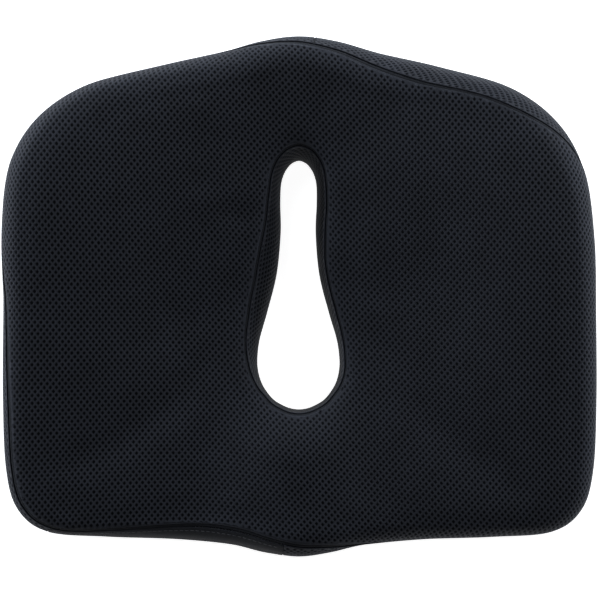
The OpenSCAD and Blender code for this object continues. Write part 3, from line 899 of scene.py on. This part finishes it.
def roll(name, path, normal, radius, sink, cad_node, closed=True, sides=10):
    """A rolled seam with the shallow waists that its stitches pull into it."""
    if closed:
        path, normal = (np.concatenate([g, g[:1]]) for g in (path, normal))
    run = run_of(path)
    at = np.linspace(0, run[-1], int(run[-1] / 0.9), endpoint=not closed)
    nn = unit(resample(at, run, normal))
    waves = max(int(run[-1] / STITCH_PITCH), 1)
    radii = radius * (1 - 0.10 * np.abs(np.sin(math.pi * waves * at / run[-1])) ** 6
                      + 0.03 * np.sin(at * 0.41) + 0.02 * np.sin(at * 1.13))
    g = tube(resample(at, run, path) - nn * sink, nn, radii, sides, closed, 0.9)
    m = len(g)
    faces, uv = tube_faces(m, sides), tube_uv(m, sides)
    if closed:
        faces = grid_faces(m, sides, True, True)
        uv = grid_uv(m, sides, (0.01, 0.01), (0.99, 0.85))
    ob = make(name, g.reshape(-1, 3), faces, SEAM, uv=uv)
    place(ob, "cushion", "seam_binding", cad_node)


def between(a, b):
    return (a.x[:, -1] + b.x[:, 0]) / 2, unit(a.n[:, -1] + b.n[:, 0])


def along_foot(side, x, n):
    """The line where a side meets the base, a little above the floor."""
    return (side + x) / 2 + [0, 0, 0.4], unit(n - [0, 0, 0.3])


STITCH_PITCH = 2.6
roll("seam_top_edge", *between(top, side_all), 2.1, 2.4, "top_edge_seam")
roll("seam_hole_rim", *between(wall_all, top), 2.1, 2.4, "hole_rim_seam")
roll("seam_base_edge", *along_foot(side_all.x[:, -1], outer, side_all.n[:, -1]), 2.0, 1.2,
     "base_edge_seam")
roll("seam_hole_base", *along_foot(wall_all.x[:, 0], inner, wall_all.n[:, 0]), 1.9, 1.2,
     "hole_base_seam")
for name, s_at in (("front_join", JOIN_FRONT), ("corner_join", JOIN_CORNER),
                   ("rear_join", JOIN_REAR)):
    strip = Panel("side", np.array([s_at - 0.02, s_at, s_at + 0.02]), 40, False)
    roll("seam_" + name, strip.x[1], strip.n[1], 1.3, 1.6, name + "_seam", False, 8)

STITCH, STITCH_GAP, THREAD_R = 2.9, 1.2, 0.26


def stitches(name, path, normal):
    """A row of thread stitches that lie on the cloth and dip into it at both ends."""
    run = run_of(path)
    t = np.linspace(0, 1, 6)
    verts, faces = [], []
    for start in np.arange(STITCH_GAP, run[-1] - STITCH - STITCH_GAP, STITCH + STITCH_GAP):
        at = start + t * STITCH
        nn = unit(resample(at, run, normal))
        p = resample(at, run, path) + nn * (
            (0.28 - 0.75 * (2 * t - 1) ** 4)[:, None] * THREAD_R * 2)
        g = tube(p, nn, THREAD_R * (1 - 0.45 * (2 * t - 1) ** 6), 6, False)
        faces += tube_faces(6, 6, 36 * len(verts))
        verts.append(g.reshape(-1, 3))
    place(make(name, np.concatenate(verts), faces, THREAD), "cushion", "seam_binding")


for name, panel, arcs in (("stitch_band_top", upper, 3.6 + 0 * upper.arc[:, -1:]),
                          ("stitch_zip_upper", upper, upper.arc[:, -1:] - 2.2),
                          ("stitch_zip_lower", lower, 1.2 + 0 * lower.arc[:, -1:])):
    x, nn = panel.at(arcs)
    stitches(name, x[4:-4, 0], nn[4:-4, 0])

# Grip dots under the base
DOT_PITCH = 12.0
dots = np.array([((c + r % 2 / 2) * DOT_PITCH, r * DOT_PITCH * 0.866)
                 for r in range(-20, 21) for c in range(-22, 23)])


def inside(points, line):
    """Which points a closed line goes round, by counting its crossings to their right."""
    a, b = line, np.roll(line, -1, 0)
    x, y = points[:, 0, None], points[:, 1, None]
    crossed = ((a[:, 1] > y) != (b[:, 1] > y)) & (
        x < (b[:, 0] - a[:, 0]) * (y - a[:, 1]) / (b[:, 1] - a[:, 1] + 1e-12) + a[:, 0])
    return crossed.sum(1) % 2 == 1


shrunk = outer[:, :2] - unit(outer[:, :2]) * 6
grown = inner[:, :2] + unit(inner[:, :2] - inner[:, :2].mean(0)) * 6
dots = dots[inside(dots, shrunk) & ~inside(dots, grown)]
turn = np.arange(10) / 10 * 2 * math.pi
circle = np.stack([np.cos(turn), np.sin(turn), 0 * turn], -1)
dot = np.concatenate([circle * r + [0, 0, z]
                      for r, z in ((1.7, DOT_H + 0.15), (1.5, 0.16), (0.9, 0.0))])
verts = dot + np.c_[dots, 0 * dots[:, 0]][:, None]
faces = [face for k in range(len(dots)) for face in tube_faces(3, 10, 30 * k, True)]
place(make("grip_dots", verts.reshape(-1, 3), faces, GRIP), "cushion", "base_fabric")

# ---------------- foam and liner
ZIP_ROOM = 3.7


def inner_body(depth, m, counts):
    """The master surface moved in by a depth, with the recess behind the zip."""
    s = np.arange(m) * ROWS / m
    panels = [Panel(part, s, n, True) for part, n in counts.items()]
    x = np.concatenate([p.x for p in panels], 1)
    nn = unit(np.cross(np.roll(x, -1, 1) - np.roll(x, 1, 1), np.roll(x, -1, 0) - np.roll(x, 1, 0)))
    on_side = np.repeat([part == "side" for part in counts], list(counts.values()))
    recess = smooth((s - JOIN_CORNER + 0.9) / 0.8) * smooth((JOIN_FRONT + 0.6 - s) / 0.6)
    back = (recess[:, None] * on_side * smooth((34 - x[..., 2]) / 8)
            * smooth((x[..., 2] - 1) / 5))
    p = x - nn * depth
    p[..., :2] -= panels[0].outward[:, None] * (back * ZIP_ROOM)[..., None]
    p[..., 2] = np.maximum(p[..., 2], depth - 0.1)
    return p


counts = {"wall": 10, "top": 30, "side": 16, "base": 8}
core = inner_body(MESH_T + 2 * LAYER_GAP + LINER_T, 170, counts)
m, n = core.shape[:2]
foam = make("foam_block", core.reshape(-1, 3), grid_faces(m, n, True, True), FOAM,
            uv=grid_uv(m, n, (0.01, 0.01), (0.99, 0.99)))
place(foam, "cushion", "foam", "foam_core")
skins = [inner_body(MESH_T + LAYER_GAP + t, 170, counts).reshape(-1, 3) for t in (0, LINER_T)]
liner = make("liner_bag", np.concatenate(skins),
             np.concatenate([grid_faces(m, n, True, True, k * m * n, k == 1) for k in (0, 1)]),
             LINER, uv=np.concatenate([grid_uv(m, n, (u, 0.01), (u + 0.48, 0.99))
                                       for u in (0.01, 0.51)]))
place(liner, "cushion", "liner_knit", "inner_liner")

# ---------------- zip
zip_dir = np.array([*ZIP_RUN / ZIP_LEN, 0])
zip_out = np.array([zip_dir[1], -zip_dir[0], 0])
up = np.array([0, 0, 1.0])
COIL_T, TAPE_T, FILAMENT_R = 1.6, 0.6, 0.34
TAPE_FACE = -BAND_T - LAYER_GAP
STOP_OPEN, STOP_LEN, STOP_CLOSED, TOOTH = 14, 2.4, ZIP_LEN - 3.4, 2.0


def on_zip(along, out, high):
    """A point from its distance along the zip, outward and up."""
    along, out, high = (np.asarray(q, float)[..., None] for q in (along, out, high))
    origin = np.array([*ZIP_OPEN_END, ZIP_Z], float)
    return origin + along * zip_dir + out * zip_out + high * up


for name, sign in (("upper", 1), ("lower", -1)):
    along = np.linspace(0, ZIP_LEN, 148)[:, None]
    ring_h = np.array([0.25, 0.4, 2.2, 4.4, 7.35, 7.5, 7.35, 4.4, 2.2, 0.4])
    ring_o = np.array([0.3, 0.6, 0.56, 0.56, 0.6, 0.3, 0.04, 0.0, 0.0, 0.0])
    g = on_zip(along + 0 * ring_h, TAPE_FACE - TAPE_T + ring_o + 0.03 * np.sin(along * 1.9),
               sign * (ring_h + 0 * along))
    tape = make("tape_" + name, g.reshape(-1, 3), tube_faces(*g.shape[:2], flip=sign > 0), TAPE)
    place(tape, "cushion", "zip_tape", "zip_tape_" + name)
    # Each half of the coil is one filament wound in flattened turns
    turns = int((STOP_CLOSED - 0.3 - STOP_OPEN - STOP_LEN - 0.3) / TOOTH)
    t = np.arange(turns * 12 + 1) / 12
    start = STOP_OPEN + STOP_LEN + 0.6 + (0 if sign > 0 else 0.5 * TOOTH)
    angle = t * 2 * math.pi
    out = TAPE_FACE + COIL_T / 2 + (COIL_T / 2 - FILAMENT_R) * np.sin(angle)
    path = on_zip(np.minimum(start + t * TOOTH * 0.99, STOP_CLOSED - 0.6), out,
                  sign * (1.0 + 1.3 * np.cos(angle)))
    g = tube(path, np.tile(zip_dir, (len(path), 1)) + 0.01, FILAMENT_R + 0 * t, 6, False)
    coil = make("coil_" + name, g.reshape(-1, 3), tube_faces(*g.shape[:2]), COIL)
    place(coil, "cushion", "zip_coil", "zip_coil_" + name)

FACE, FRONT, BACK, PIN_OUT = 0.1, 1.2, TAPE_FACE - TAPE_T - LAYER_GAP, 2.3
SLIDER_AT = STOP_CLOSED - 0.3 - 5.5


def oval(half_len, half_high, power=0.5, taper=0.0, n=56, centre=(0, 0)):
    """A rounded outline; taper narrows its trailing end."""
    t = np.arange(n) / n * 2 * math.pi
    a = np.sign(np.cos(t)) * np.abs(np.cos(t)) ** power
    b = np.sign(np.sin(t)) * np.abs(np.sin(t)) ** power * (1 - taper * (1 - a) / 2)
    return np.stack([centre[0] + half_len * a, centre[1] + half_high * b], -1)


def plate(outline, low, high, upright=False, hole=None, crown=0.0):
    """A closed plate from an outline, given as (along, high) or, upright, (along, out)."""
    n = len(outline)

    def level(line, depth):
        depth = depth + 0 * line[:, 0]
        out, up_ = (line[:, 1], depth) if upright else (depth, line[:, 1])
        return on_zip(SLIDER_AT + line[:, 0], out, up_)

    inner = outline * 0.55 + outline.mean(0) * 0.45 if hole is None else hole
    verts = np.concatenate([level(outline, low), level(outline, high), level(inner, low),
                            level(inner, high + crown)])
    faces = []
    for k in range(n):
        q = (k + 1) % n
        faces += [(k, q, n + q, n + k), (n + k, n + q, 3 * n + q, 3 * n + k),
                  (q, k, 2 * n + k, 2 * n + q)]
        if hole is not None:
            faces.append((2 * n + q, 2 * n + k, 3 * n + k, 3 * n + q))
    if hole is None:
        faces += [tuple(range(3 * n, 4 * n)), tuple(range(3 * n - 1, 2 * n - 1, -1))]
    volume = sum(np.dot(verts[f[0]], np.cross(verts[f[i]], verts[f[i + 1]]))
                 for f in faces for i in range(1, len(f) - 1))
    return verts, faces if volume > 0 else [f[::-1] for f in faces]


def bevelled(ob, width, angle):
    bevel = ob.modifiers.new("bevel", "BEVEL")
    bevel.width, bevel.segments, bevel.limit_method = width * MM, 3, "ANGLE"
    bevel.angle_limit = math.radians(angle)


def hardware(name, body, material_, slot, cad_node, plates):
    """One piece of metal from several plates, with its edges rounded."""
    verts, faces, count = [], [], 0
    for outline, low, high, options in plates:
        v, f = plate(outline, low, high, **options)
        faces += [tuple(int(i) + count for i in q) for q in f]
        verts.append(v)
        count += len(v)
    ob = make(name, np.concatenate(verts), faces, material_, smooth_faces=False)
    bevelled(ob, 0.22, 50)
    place(ob, body, slot, cad_node)


def ray_outline(outline, centre, radius):
    """The circle that meets the outline's points along rays from its centre."""
    return centre + unit(outline - centre) * radius


lug = oval(1.9, 1.35, 0.6, n=40, centre=(0, FRONT + 1.35))
hardware("slider_body", "slider", METAL, "zip_metal", "zip_slider", [
    (oval(5.5, 4.2, 0.45, 0.2), FACE, FRONT - 0.3, {}),
    (oval(4.7, 3.4, 0.5, 0.2), FRONT - 0.4, FRONT - 0.08, {"crown": 0.08}),
    (oval(4.5, 3.6, 0.5, 0.15), BACK - 1, BACK, {}),
    (oval(2.5, 0.25, 0.8, n=24), BACK - 0.2, FACE + 0.2, {}),
    (lug, -1.1, 1.1, {"upright": True,
                      "hole": ray_outline(lug, np.array([0, PIN_OUT]), 0.88)})])
tab = oval(8.3, 2.85, 0.42, -0.12, n=96, centre=(-12.7, 0))
grip_hole = ray_outline(tab, np.array([-17.0, 0]), 1.5)
recess = oval(4.0, 1.9, 0.5, n=48, centre=(-9.6, 0))
hardware("pull_tab", "pull", PULL, "pull_metal", "zip_pull", [
    (tab, PIN_OUT - 0.6, PIN_OUT + 0.6, {"hole": grip_hole}),
    (recess, PIN_OUT + 0.5, PIN_OUT + 0.66, {"crown": 0.04}),
    (oval(2.9, 0.9, 0.4, n=40, centre=(-2.5, 2.3)), PIN_OUT - 0.7, PIN_OUT + 0.7, {}),
    (oval(2.9, 0.9, 0.4, n=40, centre=(-2.5, -2.3)), PIN_OUT - 0.7, PIN_OUT + 0.7, {}),
    (oval(0.68, 0.68, 1.0, n=28, centre=(0, PIN_OUT)), -3.15, 3.15, {"upright": True})])

for cad_node in ("zip_stop_closed", "zip_stop_open"):
    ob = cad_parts[cad_node]
    ob.data.materials.clear()
    ob.data.materials.append(METAL)
    bevelled(ob, 0.28, 40)

# ---------------- care label
u, v = np.meshgrid(np.linspace(0, 1, 20), np.linspace(0, 1, 14), indexing="ij")
z = BASE_T + LAYER_GAP + 0.12 + 0.08 * np.sin(u * 9) * np.sin(v * 6)
face = np.stack([-130 + 38 * u, -150 + 24 * v, z], -1)
m, n = u.shape
border = rims(np.arange(m * n).reshape(m, n), False)[0][::-1]
after = np.roll(border, -1)
faces = [*grid_faces(m, n, False, flip=True).tolist(),
         *grid_faces(m, n, False, base=m * n).tolist(),
         *np.stack([border, after, after + m * n, border + m * n], -1).tolist()]
label = make("label", np.concatenate([face, face - [0, 0, 0.1]]).reshape(-1, 3), faces, LABEL)
place(label, "cushion", "label_cloth", "care_label")

# ---------------- stage, light, camera
scene = bpy.context.scene
floor_mat = bpy.data.materials.new("floor")
floor_mat.use_nodes = True
for key, value in (("Base Color", (0.9, 0.9, 0.9, 1)), ("Roughness", 0.9),
                   ("Emission Color", (1, 1, 1, 1)), ("Emission Strength", 0.95)):
    floor_mat.node_tree.nodes["Principled BSDF"].inputs[key].default_value = value
me = bpy.data.meshes.new("floor")
me.from_pydata([(-4, -4, -0.0004), (4, -4, -0.0004), (4, 4, -0.0004), (-4, 4, -0.0004)], [],
               [(0, 1, 2, 3)])
me.materials.append(floor_mat)
floor = bpy.data.objects.new("floor", me)
scene.collection.objects.link(floor)

world = bpy.data.worlds.new("studio")
scene.world = world
world.use_nodes = True
wt = world.node_tree
sky = node(wt, "TexCoord").outputs["Generated"]
high = node(wt, "SeparateXYZ", Vector=sky).outputs["Z"]
background = wt.nodes["Background"].inputs
feed(wt, background["Color"], (0.95, 0.97, 1.0, 1))
feed(wt, background["Strength"], ranged(wt, high, 0.9, 0.05, 0.08, 0.4))


def area(name, at, to, size, power, color):
    light = bpy.data.lights.new(name, "AREA")
    light.shape, light.size, light.size_y = "RECTANGLE", size[0], size[1]
    light.energy, light.color = power, color
    ob = bpy.data.objects.new(name, light)
    ob.location = at
    ob.rotation_euler = (Vector(to) - Vector(at)).to_track_quat("-Z", "Y").to_euler()
    scene.collection.objects.link(ob)


area("rear_soft", (-0.1, 1.6, 0.36), (0, 0.05, 0.04), (1.6, 0.4), 12.2, (0.86, 0.93, 1.0))
area("left_soft", (-1.5, 0.8, 0.36), (0, 0, 0.04), (0.9, 0.4), 31, (0.84, 0.91, 1.0))
area("right_soft", (1.5, 0.85, 0.3), (0, 0, 0.04), (0.9, 0.4), 20.5, (0.84, 0.91, 1.0))
area("over", (-0.3, 0.42, 0.9), (-0.04, 0.05, 0.04), (0.3, 0.3), 1.4, (0.95, 0.98, 1.0))
area("over_right", (0.6, 0.25, 0.75), (-0.05, 0.04, 0.04), (0.3, 0.3), 2.4, (0.95, 0.98, 1.0))

cam_data = bpy.data.cameras.new("camera")
cam_data.sensor_width, cam_data.lens = 36, 124.4
camera = bpy.data.objects.new("camera", cam_data)
camera.location = (0.0004, -0.002, 1.645)
scene.collection.objects.link(camera)
scene.camera = camera
scene.view_settings.view_transform = "Standard"
